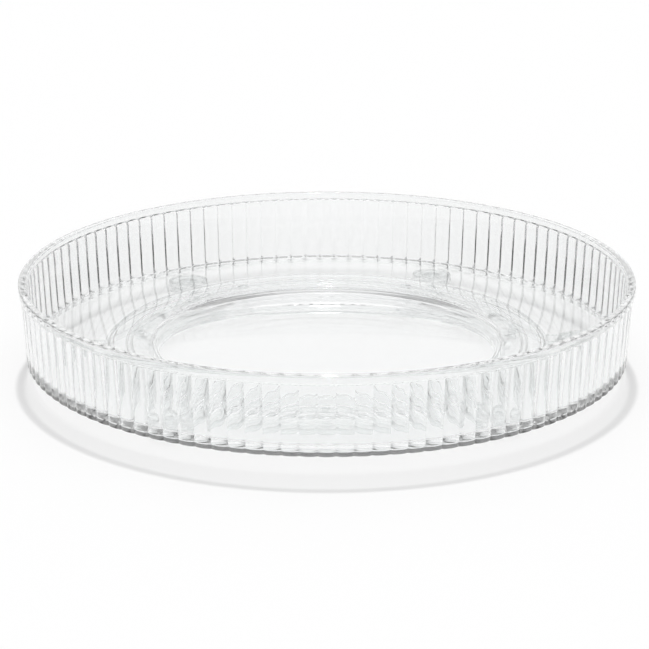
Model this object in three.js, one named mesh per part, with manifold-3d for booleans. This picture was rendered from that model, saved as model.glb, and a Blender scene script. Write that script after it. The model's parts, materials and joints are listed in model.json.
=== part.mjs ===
// Clear moulded lazy susan: a fluted tray that turns on seven balls above a base ring with six feet.
// Millimetres, +Z up. The origin is the centre of the footprint, on the surface it stands on.
import * as THREE from "three";
import { mergeVertices } from "three/addons/utils/BufferGeometryUtils.js";
import Module from "manifold-3d";

const wasm = await Module();
wasm.setup();

// Tray
const rimRadius = 150; // outside of the rim, the widest part
const wallHeight = 39; // from the lower edge of the wall to the rim
const trayLift = 6.5; // lower edge of the wall above the surface
const rimBand = 4; // height of the plain band above the flutes
const rimWall = 4.1; // wall thickness at the rim
const rimRound = 0.9; // rounding of the rim's edges
const fluteCount = 114;
const fluteDepth = 0.9; // from a flute's crest to the valley beside it
const fluteBend = 3; // 2 is an even curve, more is a flatter crest with a tighter valley
const flutePoints = 3; // outline points on one flute
const fluteTopRadius = 149; // crests, just under the rim band
const fluteFootRadius = 147.1; // crests, at the lower edge: the wall has draft
const innerTopRadius = rimRadius - rimWall;
const innerFootRadius = 144.4; // inside of the wall where it meets the floor
const lowerWallRadius = 143.8; // inside of the skirt below the floor
const floorTop = trayLift + 4.9;
const floorThickness = 2.5;
const floorFillet = 1.6; // between the floor and the wall

// Ball race: a raised ring in the tray's floor, hollow underneath
const raceOuter = 106.5;
const raceInner = 86;
const raceRise = 1.3; // step from the floor up to the raised ring
const raceSide = 2.2; // thickness of the ring's two sides
const ballCount = 7;
const ballStart = 13.7; // azimuth of the first ball, degrees
const ballRadius = 3;
const ballCircle = 97; // radius of the circle that the balls' centres lie on
const ballPlay = 0.1; // between a ball and the tray's groove

// Retainer: a skirt under the race's inner side and a flat ring fixed to its end, below the
// base ring's lip
const skirtInner = 83.8;
const skirtOuter = 86;
const skirtFoot = 4.4;
const retainerOuter = 88.1;
const retainerThickness = 1.3;
const pieceGap = 0.3; // between pieces that are fixed to each other

// Base ring: a flat plate with a dimple for each ball, a lip inside and a rim outside
const plateInner = 88.4;
const plateUnder = 2.6;
const plateTop = 6;
const lipInner = 86.4;
const lipFoot = 4.6;
const baseOuter = 109;
const baseRim = 2; // thickness of the rim
const baseTop = 8.3;
const dimpleRadius = 3.2;

// Feet
const footAngles = [3.5, 63.5, 126, 181, 235, 309.5]; // azimuths, degrees
const footCircle = 125;
const footTopRadius = 10.3;
const footLowRadius = 9.7;
const lugFoot = 6.2;
const lugWidth = 9;
const spigotRadius = 4;
const cupTop = lugFoot - pieceGap;
const cupFoot = 0.9;
const cupWall = 1.9;
const cupWeb = 2.6; // top of the cup's web above the surface
const padRadius = 6.6;
const padThickness = 1.4;

const raceTop = floorTop + raceRise;
const raceUnder = raceTop - floorThickness;
const floorUnder = floorTop - floorThickness;
const rimTop = trayLift + wallHeight;
const grooveRadius = ballRadius + ballPlay;
const ballHeight = raceUnder + 0.55 - grooveRadius; // the tray's groove is 0.55 deep
const latheSegments = 60;
const footSegments = 16;
const past = 3; // how far a cutting solid runs past the face it opens

const clear = new THREE.MeshStandardMaterial({
  color: 0xf4f7f8, roughness: 0.05, metalness: 0, transparent: true, opacity: 0.35,
});
const ballPlastic = new THREE.MeshStandardMaterial({
  color: 0xe9eef0, roughness: 0.08, metalness: 0, transparent: true, opacity: 0.55,
});
const silicone = new THREE.MeshStandardMaterial({
  color: 0xe6e9ea, roughness: 0.45, metalness: 0, transparent: true, opacity: 0.6,
});

// A closed mesh as a manifold-3d solid.
function toSolid(geometry) {
  const bare = geometry.clone();
  bare.deleteAttribute("normal");
  bare.deleteAttribute("uv");
  const merged = mergeVertices(bare, 1e-3);
  return new wasm.Manifold(new wasm.Mesh({
    numProp: 3,
    vertProperties: merged.attributes.position.array,
    triVerts: new Uint32Array(merged.index.array),
  }));
}

function toGeometry(solid) {
  const mesh = solid.getMesh();
  const geometry = new THREE.BufferGeometry();
  geometry.setAttribute("position", new THREE.BufferAttribute(mesh.vertProperties, 3));
  geometry.setIndex(new THREE.BufferAttribute(mesh.triVerts, 1));
  geometry.computeVertexNormals();
  return geometry;
}

// Turns a profile of [radius, height] points round the Z axis. The points run anticlockwise.
function turned(points, segments = latheSegments) {
  const profile = points.map(([radius, height]) => new THREE.Vector2(radius, height));
  return new THREE.LatheGeometry(profile, segments).rotateX(Math.PI / 2);
}

// The same for a profile that stays off the axis: the last point joins the first.
function turnedRing(points, segments = latheSegments) {
  return turned([...points, points[0]], segments);
}

// Points on an arc in the profile plane, from one angle to another, in degrees.
function arc(radius, height, size, from, to, steps) {
  return Array.from({ length: steps + 1 }, (_, i) => {
    const angle = THREE.MathUtils.degToRad(from + ((to - from) * i) / steps);
    return [radius + size * Math.cos(angle), height + size * Math.sin(angle)];
  });
}

function upright(radius, foot, top, x = 0, y = 0, segments = footSegments) {
  return new THREE.CylinderGeometry(radius, radius, top - foot, segments)
    .rotateX(Math.PI / 2)
    .translate(x, y, (foot + top) / 2);
}

function ballAt(radius, x, y, z) {
  return new THREE.SphereGeometry(radius, 12, 8).rotateX(Math.PI / 2).translate(x, y, z);
}

function onCircle(radius, degrees) {
  const angle = THREE.MathUtils.degToRad(degrees);
  return [radius * Math.cos(angle), radius * Math.sin(angle)];
}

// Outline of the fluted wall: shallow convex flutes with a sharp valley between each pair.
function flutedOutline(crestRadius) {
  const outline = new THREE.Shape();
  const total = fluteCount * flutePoints;
  for (let i = 0; i < total; i += 1) {
    const across = (i % flutePoints) / flutePoints; // 0 at a valley, 0.5 at a crest
    const drop = fluteDepth * Math.abs(2 * across - 1) ** fluteBend;
    const [x, y] = onCircle(crestRadius - drop, (360 * i) / total);
    if (i === 0) outline.moveTo(x, y);
    else outline.lineTo(x, y);
  }
  outline.closePath();
  return outline;
}

// The wall's draft: everything is scaled in towards the lower edge.
function addDraft(geometry) {
  const position = geometry.attributes.position;
  const lowScale = fluteFootRadius / fluteTopRadius;
  for (let i = 0; i < position.count; i += 1) {
    const up = (position.getZ(i) - trayLift) / (wallHeight - rimBand);
    const scale = THREE.MathUtils.lerp(lowScale, 1, up);
    position.setXY(i, position.getX(i) * scale, position.getY(i) * scale);
  }
  return geometry;
}

function makeTray() {
  const flutes = new THREE.ExtrudeGeometry(flutedOutline(fluteTopRadius), {
    depth: wallHeight - rimBand,
    bevelEnabled: false,
  }).translate(0, 0, trayLift);
  const rim = turned([
    [0, rimTop - rimBand - 0.2],
    [rimRadius - 0.8, rimTop - rimBand - 0.2],
    [rimRadius, rimTop - rimBand + 0.6],
    ...arc(rimRadius - rimRound, rimTop - rimRound, rimRound, 0, 90, 3),
    [0, rimTop],
  ]);
  const inside = turned([
    [0, floorTop],
    [raceInner - 0.3, floorTop],
    [raceInner + 0.3, raceTop],
    [raceOuter - 0.3, raceTop],
    [raceOuter + 0.3, floorTop],
    ...arc(innerFootRadius - floorFillet, floorTop + floorFillet, floorFillet, -90, 0, 3),
    [innerTopRadius, rimTop - rimRound],
    [innerTopRadius + 0.3 * rimRound, rimTop - 0.3 * rimRound],
    [innerTopRadius + rimRound, rimTop + 0.01],
    [innerTopRadius + rimRound, rimTop + past],
    [0, rimTop + past],
  ]);
  const grooveSide = THREE.MathUtils.radToDeg(Math.asin((raceUnder - ballHeight) / grooveRadius));
  const under = turned([
    [0, trayLift - past],
    [skirtInner, trayLift - past],
    [skirtInner, floorUnder],
    [0, floorUnder],
  ]);
  const underRing = turnedRing([
    [skirtOuter, trayLift - past],
    [lowerWallRadius, trayLift - past],
    [lowerWallRadius, floorUnder],
    [raceOuter - raceSide + 0.6, floorUnder],
    [raceOuter - raceSide, raceUnder],
    ...arc(ballCircle, ballHeight, grooveRadius, grooveSide, 180 - grooveSide, 4),
    [skirtOuter, raceUnder],
  ]);
  const skirt = turnedRing([
    [skirtInner, skirtFoot],
    [skirtOuter, skirtFoot],
    [skirtOuter, floorUnder + 0.5],
    [skirtInner, floorUnder + 0.5],
  ]);
  const dish = toSolid(addDraft(flutes))
    .add(toSolid(rim))
    .subtract(toSolid(inside))
    .subtract(toSolid(under))
    .subtract(toSolid(underRing))
    .add(toSolid(skirt));
  return toGeometry(dish);
}

function makeRetainer() {
  const top = skirtFoot - pieceGap;
  return turnedRing([
    [skirtInner, top - retainerThickness],
    [retainerOuter, top - retainerThickness],
    [retainerOuter, top],
    [skirtInner, top],
  ]);
}

// One lug: an arm from the ring's rim to a round plate with a spigot under it.
function makeLug(degrees) {
  const [x, y] = onCircle(footCircle, degrees);
  const plate = toSolid(upright(footTopRadius, lugFoot, baseTop, x, y));
  const spigot = toSolid(upright(spigotRadius, cupWeb + pieceGap, lugFoot + 0.5, x, y, 14));
  const start = baseOuter - 1;
  const arm = new THREE.BoxGeometry(footCircle - start, lugWidth, baseTop - lugFoot - 0.02)
    .translate((footCircle + start) / 2, 0, (baseTop + lugFoot) / 2)
    .rotateZ(THREE.MathUtils.degToRad(degrees));
  return plate.add(spigot).add(toSolid(arm));
}

function makeBaseRing() {
  let ring = toSolid(turnedRing([
    [plateInner, plateUnder],
    [baseOuter, plateUnder],
    [baseOuter, baseTop],
    [baseOuter - baseRim, baseTop],
    [baseOuter - baseRim, plateTop],
    [lipInner, plateTop],
    [lipInner, lipFoot],
    [plateInner, lipFoot],
  ]));
  footAngles.forEach((degrees) => {
    ring = ring.add(makeLug(degrees));
  });
  for (let i = 0; i < ballCount; i += 1) {
    const [x, y] = onCircle(ballCircle, ballStart + (360 * i) / ballCount);
    ring = ring.subtract(toSolid(ballAt(dimpleRadius, x, y, ballHeight)));
  }
  return toGeometry(ring);
}

// A tapered cup with a hub that takes the lug's spigot, and a recess below for the pad.
function makeFootCup() {
  return turned([
    [0, cupFoot + padThickness - 0.5],
    [padRadius + pieceGap, cupFoot + padThickness - 0.5],
    [padRadius + pieceGap, cupFoot],
    [footLowRadius, cupFoot],
    [footTopRadius, cupTop],
    [footTopRadius - cupWall, cupTop],
    [footTopRadius - cupWall, cupWeb],
    [spigotRadius + pieceGap + 1.3, cupWeb],
    [spigotRadius + pieceGap + 1.3, cupTop - 0.2],
    [spigotRadius + pieceGap, cupTop - 0.2],
    [spigotRadius + pieceGap, cupWeb],
    [0, cupWeb],
  ], footSegments);
}

function makeFootPad() {
  return turned([
    [0, 0],
    [padRadius - 0.4, 0],
    [padRadius, 0.4],
    [padRadius, padThickness],
    [0, padThickness],
  ], footSegments);
}

function piece(name, geometry, material) {
  const mesh = new THREE.Mesh(geometry, material.clone());
  mesh.name = name;
  return mesh;
}

const turntable = new THREE.Group();

const trayGroup = new THREE.Group();
trayGroup.add(piece("tray", makeTray(), clear));
trayGroup.add(piece("retaining_ring", makeRetainer(), clear));
turntable.add(trayGroup);

const baseGroup = new THREE.Group();
baseGroup.add(piece("base_ring", makeBaseRing(), clear));
footAngles.forEach((degrees, i) => {
  const foot = new THREE.Group();
  const [x, y] = onCircle(footCircle, degrees);
  foot.position.set(x, y, 0);
  foot.add(piece(`foot_cup_${i + 1}`, makeFootCup(), clear));
  foot.add(piece(`foot_pad_${i + 1}`, makeFootPad(), silicone));
  baseGroup.add(foot);
});
turntable.add(baseGroup);

for (let i = 0; i < ballCount; i += 1) {
  const ball = piece(`ball_${i + 1}`, ballAt(ballRadius, 0, 0, 0), ballPlastic);
  const [x, y] = onCircle(ballCircle, ballStart + (360 * i) / ballCount);
  ball.position.set(x, y, ballHeight);
  turntable.add(ball);
}

export default turntable;
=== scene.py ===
import json
import math
import bpy
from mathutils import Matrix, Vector


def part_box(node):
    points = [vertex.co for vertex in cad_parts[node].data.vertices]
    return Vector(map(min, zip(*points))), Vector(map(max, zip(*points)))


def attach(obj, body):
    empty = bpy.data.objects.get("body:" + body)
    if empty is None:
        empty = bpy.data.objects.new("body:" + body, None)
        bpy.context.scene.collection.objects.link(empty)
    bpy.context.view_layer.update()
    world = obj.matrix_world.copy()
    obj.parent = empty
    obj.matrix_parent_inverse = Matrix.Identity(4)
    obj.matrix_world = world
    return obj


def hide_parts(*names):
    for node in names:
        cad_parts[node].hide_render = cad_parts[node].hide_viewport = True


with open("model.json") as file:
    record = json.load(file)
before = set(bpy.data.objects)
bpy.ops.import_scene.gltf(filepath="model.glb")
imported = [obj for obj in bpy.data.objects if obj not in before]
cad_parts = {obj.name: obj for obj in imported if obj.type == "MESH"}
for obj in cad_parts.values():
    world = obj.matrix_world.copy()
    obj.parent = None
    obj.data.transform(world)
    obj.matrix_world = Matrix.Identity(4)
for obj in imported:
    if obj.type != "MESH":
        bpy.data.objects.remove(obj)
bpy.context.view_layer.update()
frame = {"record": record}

mm = 0.001
mounts = {m["name"]: m for m in frame["record"]["mounts"]}


def deselectAll():
    if bpy.context.object and bpy.context.object.mode != "OBJECT":
        bpy.ops.object.mode_set(mode="OBJECT")
    bpy.ops.object.select_all(action="DESELECT")


def makeActive(piece):
    deselectAll()
    piece.select_set(True)
    bpy.context.view_layer.objects.active = piece


def pickPoints(piece, wanted):
    # selects the points whose place passes the test, in edit mode
    bpy.ops.object.mode_set(mode="EDIT")
    bpy.ops.mesh.select_mode(type="VERT")
    bpy.ops.mesh.select_all(action="DESELECT")
    bpy.ops.object.mode_set(mode="OBJECT")
    for point in piece.data.vertices:
        point.select = wanted(point.co)
    bpy.ops.object.mode_set(mode="EDIT")


def arcPoints(radius, height, size, start, end, steps):
    # points round an arc of the outline, angles in degrees
    angles = [math.radians(start + (end - start) * i / steps) for i in range(steps + 1)]
    return [(radius + size * math.cos(a), height + size * math.sin(a)) for a in angles]


def drawOutline(name, points, closed):
    # one point is extruded along the outline, in the XZ plane; sizes in millimetres
    deselectAll()
    bpy.ops.mesh.primitive_plane_add(size=mm, location=(points[0][0] * mm, 0, points[0][1] * mm))
    piece = bpy.context.object
    piece.name = piece.data.name = name
    bpy.ops.object.transform_apply(location=True, rotation=True, scale=True)
    bpy.ops.object.mode_set(mode="EDIT")
    bpy.ops.mesh.merge(type="CENTER")
    for (r0, z0), (r1, z1) in zip(points, points[1:]):
        move = ((r1 - r0) * mm, 0, (z1 - z0) * mm)
        bpy.ops.mesh.extrude_vertices_move(TRANSFORM_OT_translate={"value": move})
    if closed:
        bpy.ops.mesh.select_all(action="SELECT")
        bpy.ops.mesh.remove_doubles(threshold=0.001 * mm)
    bpy.ops.object.mode_set(mode="OBJECT")
    return piece


def spinRound(piece, steps, turn=360, copies=False):
    bpy.ops.object.mode_set(mode="EDIT")
    bpy.ops.mesh.select_all(action="SELECT")
    bpy.ops.mesh.spin(steps=steps, angle=math.radians(turn), dupli=copies,
                      center=(0, 0, 0), axis=(0, 0, 1), use_auto_merge=False)
    bpy.ops.object.mode_set(mode="OBJECT")


meshLimits = {"merge": 0.002, "rowMerge": 0.0005, "sliver": 0.0005}  # mm


def tidyMesh(piece, merge=meshLimits["merge"]):
    # closes the seam and the poles, then turns every face outwards
    bpy.ops.object.mode_set(mode="EDIT")
    bpy.ops.mesh.select_all(action="SELECT")
    bpy.ops.mesh.remove_doubles(threshold=merge * mm)
    bpy.ops.mesh.dissolve_degenerate(threshold=meshLimits["sliver"] * mm)
    bpy.ops.mesh.normals_make_consistent(inside=False)
    bpy.ops.object.mode_set(mode="OBJECT")


def turnedPiece(name, points, steps, closed=True):
    piece = drawOutline(name, points + points[:1] if closed else points, closed)
    makeActive(piece)
    spinRound(piece, steps)
    tidyMesh(piece)
    return piece


def smoothShade(piece, angle=32):
    makeActive(piece)
    bpy.ops.object.shade_smooth_by_angle(angle=math.radians(angle))


def joinOrCut(piece, other, how):
    makeActive(piece)
    bpy.ops.object.modifier_add(type="BOOLEAN")
    change = piece.modifiers[-1]
    change.operation = how
    change.solver = "EXACT"
    change.object = other
    bpy.ops.object.modifier_apply(modifier=change.name)
    bpy.data.objects.remove(other)


def copyTo(piece, name, place, turn=0):
    # a copy with its own mesh; its place goes into the mesh
    makeActive(piece)
    bpy.ops.object.duplicate(linked=False)
    copy = bpy.context.object
    copy.name = copy.data.name = name
    copy.location = place
    copy.rotation_euler = (0, 0, math.radians(turn))
    bpy.ops.object.transform_apply(location=True, rotation=True, scale=True)
    return copy


def joinAll(pieces):
    deselectAll()
    for piece in pieces:
        piece.select_set(True)
    bpy.context.view_layer.objects.active = pieces[0]
    bpy.ops.object.join()
    return pieces[0]


def middleOf(node):
    low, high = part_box(node)
    return (low + high) / 2


def finishPiece(piece, body, node, material, angle=32):
    smoothShade(piece, angle)
    piece.data.materials.clear()
    piece.data.materials.append(material)
    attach(piece, body)
    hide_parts(node)


def hexColour(text):
    # sRGB hex to the linear numbers that the shaders take
    parts = [int(text[i:i + 2], 16) / 255 for i in (1, 3, 5)]
    linear = [p / 12.92 if p <= 0.04045 else ((p + 0.055) / 1.055) ** 2.4 for p in parts]
    return (*linear, 1)


def addNode(tree, kind, settings=None, values=None, links=None):
    node = tree.nodes.new(kind)
    for name, value in (settings or {}).items():
        setattr(node, name, value)
    for name, value in (values or {}).items():
        node.inputs[name].default_value = value
    for name, source in (links or {}).items():
        tree.links.new(source, node.inputs[name])
    return node


plasticLook = {
    "ior": 1.57,
    "rippleSize": 46,  # mm from one soft swell of the moulded surface to the next
    "rippleDepth": 0.012,  # mm
    "polishLow": 0.0,
    "polishHigh": 0.008,
    "hazeSize": 7,  # mm, patches that are a little less polished
}
rimLook = {"depth": 0.8, "soft": 0.2, "shade": 0.65}  # mm below the top, and the light left there
# painted shade: a dark band painted into the tray's colour along the wall's lower edge
edgeShadeLook = {
    "start": 0.15,  # mm above the wall's foot, where the painted shade band begins
    "full": 0.35,
    "fade": 2.3,
    "end": 2.6,
    "radius": 145.4,  # mm, only what is further out gets the painted shade
    "tint": 0.08,
}


def addPolish(tree, place, polish):
    # a faint swell where the plastic shrank, which bends reflections a little, and patches of
    # slightly weaker polish
    look = plasticLook
    swell = addNode(tree, "ShaderNodeTexNoise", values={"Scale": 1 / (look["rippleSize"] * mm),
                    "Detail": 1.5, "Roughness": 0.4}, links={"Vector": place})
    bump = addNode(tree, "ShaderNodeBump", values={"Strength": 1.0,
                   "Distance": look["rippleDepth"] * mm}, links={"Height": swell.outputs[0]})
    haze = addNode(tree, "ShaderNodeTexNoise", values={"Scale": 1 / (look["hazeSize"] * mm),
                   "Detail": 3.0}, links={"Vector": place})
    rough = addNode(tree, "ShaderNodeMapRange", values={"From Min": 0.35, "From Max": 0.75,
                    "To Min": look["polishLow"] * polish, "To Max": look["polishHigh"] * polish},
                    links={"Value": haze.outputs[0]})
    return bump.outputs[0], rough.outputs[0]


def addPaintedEdgeShade(tree, place, height, colour, foot):
    # painted shade: the scalloped lower edge lets little light through, so a dark band, shaped like a
    # rope, is painted into the plastic's colour there; only light that enters from outside meets it, so
    # that seen from inside the edge stays clear
    look = edgeShadeLook
    low = addNode(tree, "ShaderNodeMapRange", values={"From Min": foot + look["start"] * mm,
                  "From Max": foot + look["full"] * mm, "To Min": 0.0, "To Max": 1.0},
                  links={"Value": height})
    high = addNode(tree, "ShaderNodeMapRange", values={"From Min": foot + look["fade"] * mm,
                   "From Max": foot + look["end"] * mm, "To Min": 1.0, "To Max": 0.0},
                   links={"Value": height})
    band = addNode(tree, "ShaderNodeMath", {"operation": "MULTIPLY"},
                   links={0: low.outputs[0], 1: high.outputs[0]})
    side = addNode(tree, "ShaderNodeNewGeometry")
    entering = addNode(tree, "ShaderNodeMath", {"operation": "SUBTRACT"}, {0: 1.0},
                       {1: side.outputs["Backfacing"]})
    flat = addNode(tree, "ShaderNodeVectorMath", {"operation": "MULTIPLY"}, {1: (1, 1, 0)}, {0: place})
    radius = addNode(tree, "ShaderNodeVectorMath", {"operation": "LENGTH"}, links={0: flat.outputs[0]})
    outside = addNode(tree, "ShaderNodeMath", {"operation": "GREATER_THAN"},
                      {1: look["radius"] * mm}, {0: radius.outputs["Value"]})
    outer = addNode(tree, "ShaderNodeMath", {"operation": "MULTIPLY"},
                    links={0: entering.outputs[0], 1: outside.outputs[0]})
    paintedShadeMask = addNode(tree, "ShaderNodeMath", {"operation": "MULTIPLY"},
                   links={0: band.outputs[0], 1: outer.outputs[0]})
    dark = (look["tint"], look["tint"], look["tint"], 1)
    tint = addNode(tree, "ShaderNodeMix", {"data_type": "RGBA"}, {"A": hexColour(colour), "B": dark},
                   {"Factor": paintedShadeMask.outputs[0]})
    return tint.outputs["Result"]


def addShade(tree, height, shadowFace, shadowEdge, top):
    # lamps and light from the floor go straight through, weaker where the wall is seen edge on
    tilt = addNode(tree, "ShaderNodeLayerWeight", values={"Blend": 0.5})
    shade = addNode(tree, "ShaderNodeMapRange", values={"From Min": 0.0, "From Max": 1.0,
                    "To Min": shadowFace, "To Max": shadowEdge},
                    links={"Value": tilt.outputs["Facing"]})
    if top is None:
        return shade.outputs[0]
    # light that falls on the rim is led down inside the wall, so the rim throws a darker line
    rimFoot = top - rimLook["depth"] * mm
    rim = addNode(tree, "ShaderNodeMapRange", values={"From Min": rimFoot,
                  "From Max": rimFoot + rimLook["soft"] * mm, "To Min": 1.0, "To Max": rimLook["shade"]},
                  links={"Value": height})
    both = addNode(tree, "ShaderNodeMath", {"operation": "MULTIPLY"},
                   links={0: shade.outputs[0], 1: rim.outputs[0]})
    return both.outputs[0]


def clearPlastic(name, colour, shadowFace, shadowEdge, polish=1, wall=None):
    # glass-clear polystyrene or acrylic from a polished steel mould; wall is the height of the
    # fluted wall's foot and of its top
    material = bpy.data.materials.new(name)
    material.use_nodes = True
    tree = material.node_tree
    tree.nodes.clear()
    place = addNode(tree, "ShaderNodeTexCoord").outputs["Object"]
    height = addNode(tree, "ShaderNodeSeparateXYZ", links={"Vector": place}).outputs["Z"]
    bump, rough = addPolish(tree, place, polish)
    plastic = addNode(tree, "ShaderNodeBsdfPrincipled", values={
        "Base Color": hexColour(colour), "IOR": plasticLook["ior"], "Transmission Weight": 1.0},
        links={"Roughness": rough, "Normal": bump})
    if wall:
        # the wall's scalloped foot gets its painted shade band in the plastic's colour
        tree.links.new(addPaintedEdgeShade(tree, place, height, colour, wall[0]), plastic.inputs["Base Color"])
    shade = addShade(tree, height, shadowFace, shadowEdge, wall[1] if wall else None)
    through = addNode(tree, "ShaderNodeBsdfTransparent", links={"Color": shade})
    path = addNode(tree, "ShaderNodeLightPath")
    either = addNode(tree, "ShaderNodeMath", {"operation": "MAXIMUM"},
                     links={0: path.outputs["Is Shadow Ray"], 1: path.outputs["Is Diffuse Ray"]})
    mixed = addNode(tree, "ShaderNodeMixShader",
                    links={0: either.outputs[0], 1: plastic.outputs[0], 2: through.outputs[0]})
    addNode(tree, "ShaderNodeOutputMaterial", links={"Surface": mixed.outputs[0]})
    return material


wallFoot = 6.5  # mm above the surface that the turntable stands on
trayPlastic = clearPlastic("trayClearPolystyrene", "#f9fafa", 0.988, 0.86,
                           wall=(wallFoot * mm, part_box("tray")[1].z))
basePlastic = clearPlastic("baseClearPolystyrene", "#f9fafa", 0.995, 0.97)
ballPlastic = clearPlastic("ballClearAcrylic", "#f4f6f6", 0.95, 0.7)
# silicone is softer and less shiny than the plastics
padSilicone = clearPlastic("padClearSilicone", "#eff1f1", 0.93, 0.75, polish=8)
print("materials made")


trayBottom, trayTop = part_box("tray")
tray = {
    "flutes": 114,
    "fluteRows": 10,  # strips across one flute
    "fluteDepth": 0.9,
    "fluteBend": 3,  # 2 gives an even curve, more gives a flatter flute with a tighter valley
    # mm below the rim band, and the share of the full depth that the flutes have there
    "fluteFade": [(-0.3, 0.0), (0.05, 0.12), (0.3, 0.45), (0.75, 0.85), (1.3, 1.0)],
    "band": 3.9,  # plain band under the rim
    "rimWall": 4.1,
    "rimRound": 0.9,
    "wallInner": 144.4,  # inside of the wall at the floor
    "skirtInner": 143.8,  # inside of the wall below the floor
    "wallFillet": 2.0,
    "crestTop": 149.0,
    "crestFoot": 147.1,
    "floor": mounts["tray_floor"]["pos_m"][2] / mm,
    "race": mounts["race_top"]["pos_m"][2] / mm,
    "thickness": 2.5,
    "raceInner": 86.0,
    "raceOuter": 106.5,
    "raceSide": 2.2,
    "raceRound": 0.5,  # small rounds where the race rises from the floor
    "raceFootOut": 0.9,
    "raceTopIn": 0.35,
    "ballCircle": 97.0,
    "grooveSize": 3.1,
    "hubInner": 83.8,
    "hubOuter": 86.0,
    "hubEdge": 0.3,
}


def trayOutline():
    t = tray
    rim = trayTop.x / mm
    top = trayTop.z / mm
    floor, race = t["floor"], t["race"]
    small, footOut, topIn = t["raceRound"], t["raceFootOut"], t["raceTopIn"]
    under, raceUnder = floor - t["thickness"], race - t["thickness"]
    hubFoot = trayBottom.z / mm
    edge = t["rimRound"]
    ballZ = middleOf("ball_1").z / mm
    grooveSide = math.degrees(math.asin((raceUnder - ballZ) / t["grooveSize"]))
    inside = [(0, floor)]
    inside += arcPoints(t["raceInner"] - footOut, floor + small, small, -90, -30, 3)
    inside += arcPoints(t["raceInner"] + topIn, race - small, small, 150, 90, 3)
    inside += arcPoints(t["raceOuter"] - topIn, race - small, small, 90, 30, 3)
    inside += arcPoints(t["raceOuter"] + footOut, floor + small, small, 210, 270, 3)
    fillet = t["wallFillet"]
    inside += arcPoints(t["wallInner"] - fillet, floor + fillet, fillet, -90, -2, 6)
    rimRows = arcPoints(rim - t["rimWall"] + edge, top - edge, edge, 180, 90, 5)
    rimRows += arcPoints(rim - edge, top - edge, edge, 90, 0, 5)
    # the band rolls in to the crests of the flutes, and the wall then tapers down to its foot
    bandFoot = top - t["band"]
    wall = [(rim, bandFoot + 0.6), (rim - 0.12, bandFoot + 0.2), (rim - 0.45, bandFoot - 0.1),
            (rim - 0.8, bandFoot - 0.35), (t["crestTop"], bandFoot - 0.8),
            (t["crestTop"] - 0.03, bandFoot - 1.5)]
    foot = wallFoot
    wall += [(t["crestFoot"], foot + 0.9), (t["crestFoot"] - 0.2, foot + 0.35),
             (t["crestFoot"] - 0.7, foot)]
    # the underside: the low edge of the wall, the flat floor, the race's groove and the hub skirt
    below = [(t["skirtInner"] + 1.7, foot), (t["skirtInner"] + 1.4, foot + 0.3), (t["skirtInner"], under)]
    below += [(t["raceOuter"] - t["raceSide"] + 0.7, under), (t["raceOuter"] - t["raceSide"], raceUnder)]
    below += arcPoints(t["ballCircle"], ballZ, t["grooveSize"], grooveSide, 180 - grooveSide, 8)
    hubEdge = t["hubEdge"]
    below += [(t["hubOuter"], raceUnder), (t["hubOuter"], hubFoot + hubEdge),
              (t["hubOuter"] - hubEdge, hubFoot), (t["hubInner"] + hubEdge, hubFoot),
              (t["hubInner"], hubFoot + hubEdge), (t["hubInner"], under), (0, under)]
    return inside + rimRows + wall + below


def fluteShare(height):
    # how deep the flutes are at this height: they run out under the rim band
    down = (trayTop.z / mm - tray["band"]) - height
    steps = tray["fluteFade"]
    if down <= steps[0][0]:
        return 0
    for (d0, s0), (d1, s1) in zip(steps, steps[1:]):
        if down <= d1:
            return s0 + (s1 - s0) * (down - d0) / (d1 - d0)
    return 1


def pushFlute(piece, outline, wedge):
    # the wall's outside is pushed in on both sides of the flute's crest, row by row
    t = tray
    wallFrom = trayTop.x / mm - t["rimWall"] - 0.3
    rows = sorted({round(z, 3) for r, z in outline if r > wallFrom and fluteShare(z) > 0})
    for i in range(t["fluteRows"] + 1):
        across = 2 * i / t["fluteRows"] - 1
        drop = t["fluteDepth"] * abs(across) ** t["fluteBend"]
        if drop < 0.0001:
            continue
        angle = -math.radians(wedge * i / t["fluteRows"])  # spin turns clockwise
        for z in rows:
            radius = next(r for r, zz in outline if r > wallFrom and abs(zz - z) < 0.0006)
            pickPoints(piece, lambda p: abs(p.z / mm - z) < 0.002
                       and abs(math.hypot(p.x, p.y) / mm - radius) < 0.01
                       and abs(math.atan2(p.y, p.x) - angle) < 0.0004)
            scale = 1 - drop * fluteShare(z) / radius
            bpy.ops.transform.resize(value=(scale, scale, 1), center_override=(0, 0, 0))
            bpy.ops.object.mode_set(mode="OBJECT")


def makeTray():
    outline = trayOutline()
    piece = drawOutline("fluted_tray", outline, False)
    makeActive(piece)
    wedge = 360 / tray["flutes"]
    spinRound(piece, tray["fluteRows"], wedge)
    tidyMesh(piece, meshLimits["rowMerge"])
    pushFlute(piece, outline, wedge)
    # one flute is copied all the way round
    spinRound(piece, tray["flutes"] - 1, 360 - wedge, copies=True)
    tidyMesh(piece)
    finishPiece(piece, "tray", "tray", trayPlastic, 30)


makeTray()
print("tray made")


retainer = {"inner": 83.8, "edge": 0.25}


def makeRetainer():
    low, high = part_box("retaining_ring")
    inner, outer = retainer["inner"], high.x / mm
    foot, top, edge = low.z / mm, high.z / mm, retainer["edge"]
    outline = arcPoints(outer - edge, foot + edge, edge, -90, 0, 2)
    outline += arcPoints(outer - edge, top - edge, edge, 0, 90, 2)
    outline += arcPoints(inner + edge, top - edge, edge, 90, 180, 2)
    outline += arcPoints(inner + edge, foot + edge, edge, 180, 270, 2)
    piece = turnedPiece("clip_ring", outline, 240)
    finishPiece(piece, "tray", "retaining_ring", basePlastic)


makeRetainer()
print("retaining ring made")


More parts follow.
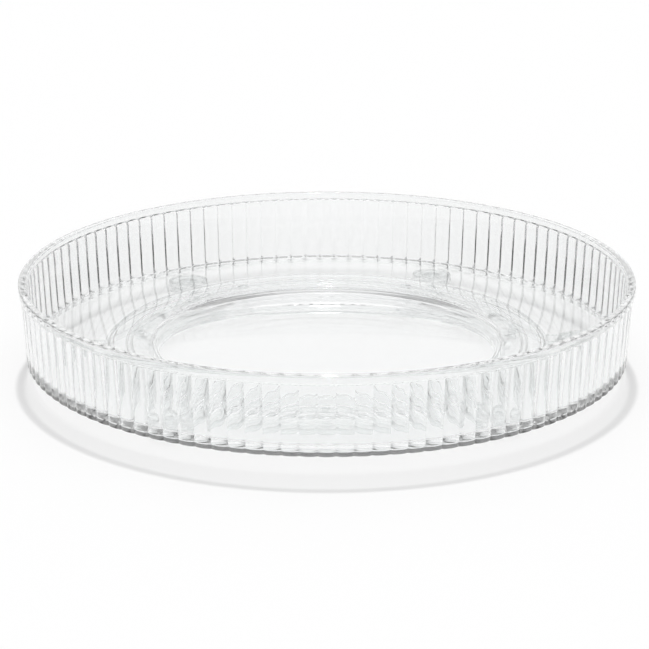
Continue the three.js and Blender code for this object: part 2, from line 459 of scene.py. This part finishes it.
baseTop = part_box("base_ring")[1].z / mm
base = {
    "plateInner": 88.4,
    "plateUnder": 2.6,
    "plateTop": 6.0,
    "lipInner": 86.4,
    "lipFoot": 4.6,
    "outer": 109.0,
    "rim": 2.0,
    "edge": 0.35,
    "lugRadius": 10.3,
    "lugFoot": 6.2,
    "lugWidth": 9.0,
    "spigotRadius": 4.0,
    "spigotFoot": 2.9,
    "spigotEdge": 0.4,
    "armOverlap": 1.0,  # how far a lug's arm runs into the ring
    "armInset": 0.04,  # the arm is this much lower than the lug, so that no two faces lie together
    "dimpleSize": 3.2,  # radius of the hollow that holds a ball
    "dimpleSteps": 48,
}
feet = [f"foot_cup_{i + 1}" for i in range(6)]
balls = [f"ball_{i + 1}" for i in range(7)]


def makeLug():
    b = base
    top = baseTop
    edge = b["edge"]
    outline = [(0, b["spigotFoot"]), (b["spigotRadius"] - b["spigotEdge"], b["spigotFoot"]),
               (b["spigotRadius"], b["spigotFoot"] + b["spigotEdge"]), (b["spigotRadius"], b["lugFoot"])]
    outline += arcPoints(b["lugRadius"] - edge, b["lugFoot"] + edge, edge, -90, 0, 3)
    outline += arcPoints(b["lugRadius"] - edge, top - edge, edge, 0, 90, 3)
    outline += [(0, top)]
    lug = turnedPiece("lug", outline, 64, closed=False)
    reach = middleOf(feet[0]).xy.length / mm - b["outer"] + b["armOverlap"]
    deselectAll()
    bpy.ops.mesh.primitive_cube_add(size=1, location=(-reach / 2 * mm, 0, (b["lugFoot"] + top) / 2 * mm))
    arm = bpy.context.object
    arm.scale = (reach * mm, b["lugWidth"] * mm, (top - b["lugFoot"] - b["armInset"]) * mm)
    bpy.ops.object.transform_apply(location=True, rotation=True, scale=True)
    joinOrCut(lug, arm, "UNION")
    return lug


def makeBaseRing():
    b = base
    edge = b["edge"]
    foot, top = b["plateUnder"], baseTop
    rimInner = b["outer"] - b["rim"]
    outline = arcPoints(b["outer"] - edge, foot + edge, edge, -90, 0, 3)
    outline += arcPoints(b["outer"] - edge, top - edge, edge, 0, 90, 3)
    outline += arcPoints(rimInner + edge, top - edge, edge, 90, 180, 3)
    outline += arcPoints(rimInner - edge, b["plateTop"] + edge, edge, 0, -90, 3)
    outline += arcPoints(b["lipInner"] + edge, b["plateTop"] - edge, edge, 90, 180, 3)
    outline += [(b["lipInner"], b["lipFoot"] + 0.15), (b["lipInner"] + 0.15, b["lipFoot"]),
                (b["plateInner"], b["lipFoot"])]
    outline += arcPoints(b["plateInner"] + edge, foot + edge, edge, 180, 270, 3)
    ring = turnedPiece("footed_ring", outline, 240)
    lug = makeLug()
    lugs = []
    for i, name in enumerate(feet):
        at = middleOf(name)
        lugs.append(copyTo(lug, f"lug_{i + 1}", (at.x, at.y, 0), math.degrees(math.atan2(at.y, at.x))))
    bpy.data.objects.remove(lug)
    joinOrCut(ring, joinAll(lugs), "UNION")
    # ball dimples: shallow hollows cut by a ball slightly larger than the real one
    hollows = []
    for name in balls:
        deselectAll()
        bpy.ops.mesh.primitive_uv_sphere_add(segments=b["dimpleSteps"], ring_count=b["dimpleSteps"] // 2,
                                             radius=b["dimpleSize"] * mm, location=middleOf(name))
        hollows.append(bpy.context.object)
    joinOrCut(ring, joinAll(hollows), "DIFFERENCE")
    makeActive(ring)
    bpy.ops.object.transform_apply(location=True, rotation=True, scale=True)
    finishPiece(ring, "base", "base_ring", basePlastic)


makeBaseRing()
print("base ring made")


ballLook = {"steps": 48, "seam": 0.06}  # steps round a ball, and the mould seam's width in mm


def makeBalls():
    for i, name in enumerate(balls):
        low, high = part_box(name)
        at = middleOf(name)
        deselectAll()
        bpy.ops.mesh.primitive_uv_sphere_add(segments=ballLook["steps"], ring_count=ballLook["steps"] // 2,
                                             radius=(high.z - low.z) / 2, location=at)
        ball = bpy.context.object
        ball.name = ball.data.name = f"race_ball_{i + 1}"
        bpy.ops.object.transform_apply(location=True, rotation=True, scale=True)
        # a fine seam round the middle, left where the two halves of the mould met
        pickPoints(ball, lambda p: abs(p.z - at.z) < 0.01 * mm)
        bpy.ops.mesh.bevel(offset=ballLook["seam"] * mm, segments=2, affect="EDGES")
        bpy.ops.object.mode_set(mode="OBJECT")
        finishPiece(ball, name, name, ballPlastic, 60)


makeBalls()
print("balls made")


cup = {
    "topRadius": 10.3,
    "lowRadius": 9.7,
    "wall": 1.9,
    "web": 2.6,
    "hub": 4.3,
    "hubWall": 1.3,
    "seatDepth": 0.9,  # of the shallow seat that the pad sits in
    "padRadius": 6.6,
    "padTop": 1.4,
    "padGap": 0.3,
    "edge": 0.4,
}


def makeFeet():
    c = cup
    low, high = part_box(feet[0])
    foot, top, edge = low.z / mm, high.z / mm, c["edge"]
    recess, seat = c["padRadius"] + c["padGap"], foot + c["seatDepth"]
    hubOut = c["hub"] + c["hubWall"]
    outline = [(0, seat), (recess, seat), (recess, foot + 0.2), (recess + 0.2, foot)]
    outline += arcPoints(c["lowRadius"] - edge, foot + edge, edge, -90, -8, 3)
    outline += arcPoints(c["topRadius"] - edge, top - edge, edge, -8, 90, 4)
    outline += arcPoints(c["topRadius"] - c["wall"] + edge, top - edge, edge, 90, 180, 3)
    outline += arcPoints(c["topRadius"] - c["wall"] - 0.5, c["web"] + 0.5, 0.5, 0, -90, 3)
    outline += arcPoints(hubOut + 0.3, c["web"] + 0.3, 0.3, 270, 180, 2)
    outline += [(hubOut, top - 0.4), (hubOut - 0.2, top - 0.2), (c["hub"] + 0.2, top - 0.2),
                (c["hub"], top - 0.4), (c["hub"], c["web"]), (0, c["web"])]
    model = turnedPiece("cup", outline, 72, closed=False)
    padOutline = [(0, 0.12), (3.4, 0.12), (3.7, 0)]
    padOutline += arcPoints(c["padRadius"] - 0.4, 0.4, 0.4, -90, 0, 3)
    padOutline += [(c["padRadius"], c["padTop"] - 0.2), (c["padRadius"] - 0.2, c["padTop"]),
                   (0, c["padTop"])]
    pad = turnedPiece("pad", padOutline, 72, closed=False)
    for i, name in enumerate(feet):
        at = middleOf(name)
        cupPiece = copyTo(model, f"clear_foot_{i + 1}", (at.x, at.y, 0), 60 * i)
        finishPiece(cupPiece, "base", name, basePlastic)
        padPiece = copyTo(pad, f"soft_pad_{i + 1}", (at.x, at.y, 0), 60 * i)
        finishPiece(padPiece, "base", f"foot_pad_{i + 1}", padSilicone)
    bpy.data.objects.remove(model)
    bpy.data.objects.remove(pad)


makeFeet()
print("feet made")


studio = {
    "floorSize": 14,  # m
    "floorDrop": 0.00005,  # m, keeps the floor clear of the pads
    "floorColour": "#f7f7f7",
    "skyFront": 0.47,
    "skyBack": 1.06,
    "skyBlend": 0.5,  # the sky goes from front to back light over this much on both sides of the middle
    "skySide": 0.1,  # share of the sky's light that is left at both sides
    "sideFrom": 0.3,
    "sideTo": 0.8,
    "key": {"power": 1.9, "rise": 64, "size": 3},  # lamp behind the tray; rise and size in degrees
}


def makeStudio():
    deselectAll()
    bpy.ops.mesh.primitive_plane_add(size=studio["floorSize"], location=(0, 0, -studio["floorDrop"]))
    floor = bpy.context.object
    floor.name = "studioFloor"
    paper = bpy.data.materials.new("whitePaper")
    paper.use_nodes = True
    shader = paper.node_tree.nodes["Principled BSDF"]
    shader.inputs["Base Color"].default_value = hexColour(studio["floorColour"])
    shader.inputs["Roughness"].default_value = 0.9
    shader.inputs["Specular IOR Level"].default_value = 0.1
    floor.data.materials.append(paper)
    world = bpy.data.worlds.new("studioWorld")
    bpy.context.scene.world = world
    world.use_nodes = True
    tree = world.node_tree
    tree.nodes.clear()
    place = addNode(tree, "ShaderNodeTexCoord")
    split = addNode(tree, "ShaderNodeSeparateXYZ", links={"Vector": place.outputs["Generated"]})
    depth = addNode(tree, "ShaderNodeMapRange", {"interpolation_type": "SMOOTHSTEP"},
                    {"From Min": -studio["skyBlend"], "From Max": studio["skyBlend"],
                     "To Min": studio["skyFront"], "To Max": studio["skyBack"]},
                    {"Value": split.outputs["Y"]})
    side = addNode(tree, "ShaderNodeMath", {"operation": "ABSOLUTE"}, links={0: split.outputs["X"]})
    fade = addNode(tree, "ShaderNodeMapRange", {"interpolation_type": "SMOOTHSTEP"},
                   {"From Min": studio["sideFrom"], "From Max": studio["sideTo"], "To Min": 1.0,
                    "To Max": studio["skySide"]}, {"Value": side.outputs[0]})
    level = addNode(tree, "ShaderNodeMath", {"operation": "MULTIPLY"},
                    links={0: depth.outputs[0], 1: fade.outputs[0]})
    sky = addNode(tree, "ShaderNodeBackground", links={"Color": level.outputs[0]})
    addNode(tree, "ShaderNodeOutputWorld", links={"Surface": sky.outputs[0]})


def addSun(name, look):
    data = bpy.data.lights.new(name, "SUN")
    data.energy = look["power"]
    data.angle = math.radians(look["size"])
    lamp = bpy.data.objects.new(name, data)
    bpy.context.scene.collection.objects.link(lamp)
    rise = math.radians(look["rise"])
    lamp.location = (0, math.cos(rise), math.sin(rise))
    lamp.rotation_euler = (-lamp.location).to_track_quat("-Z", "Y").to_euler()


camera = {
    "lens": 144.37,  # mm
    "sensor": 36,  # mm
    "distance": 1.28289,  # m
    "rise": 18.99,  # degrees above the horizon
    "aimUp": 0.01203,  # m, from the middle of the wall's foot
    "aimSide": -0.00116,
    "farClip": 50,  # m
}


def makeCamera():
    c = camera
    target = Vector((0, 0, wallFoot * mm))
    rise = math.radians(c["rise"])
    back = Vector((0, -math.cos(rise), math.sin(rise)))
    up = Vector((0, math.sin(rise), math.cos(rise)))
    aim = target + up * c["aimUp"] + Vector((c["aimSide"], 0, 0))
    data = bpy.data.cameras.new("camera")
    data.lens = c["lens"]
    data.sensor_width = c["sensor"]
    data.clip_end = c["farClip"]
    made = bpy.data.objects.new("camera", data)
    bpy.context.scene.collection.objects.link(made)
    made.location = target + back * c["distance"]
    made.rotation_mode = "QUATERNION"
    made.rotation_quaternion = (aim - made.location).to_track_quat("-Z", "Y")
    bpy.context.scene.camera = made


makeStudio()
addSun("keySun", studio["key"])
makeCamera()
scene = bpy.context.scene
scene.view_settings.view_transform = "Standard"
# light that runs along inside the plastic bounces many times before it leaves
deepBounces = 48
scene.cycles.max_bounces = deepBounces
scene.cycles.transmission_bounces = deepBounces
scene.cycles.transparent_max_bounces = deepBounces
scene.cycles.glossy_bounces = 40
scene.cycles.diffuse_bounces = 3
print("studio made")
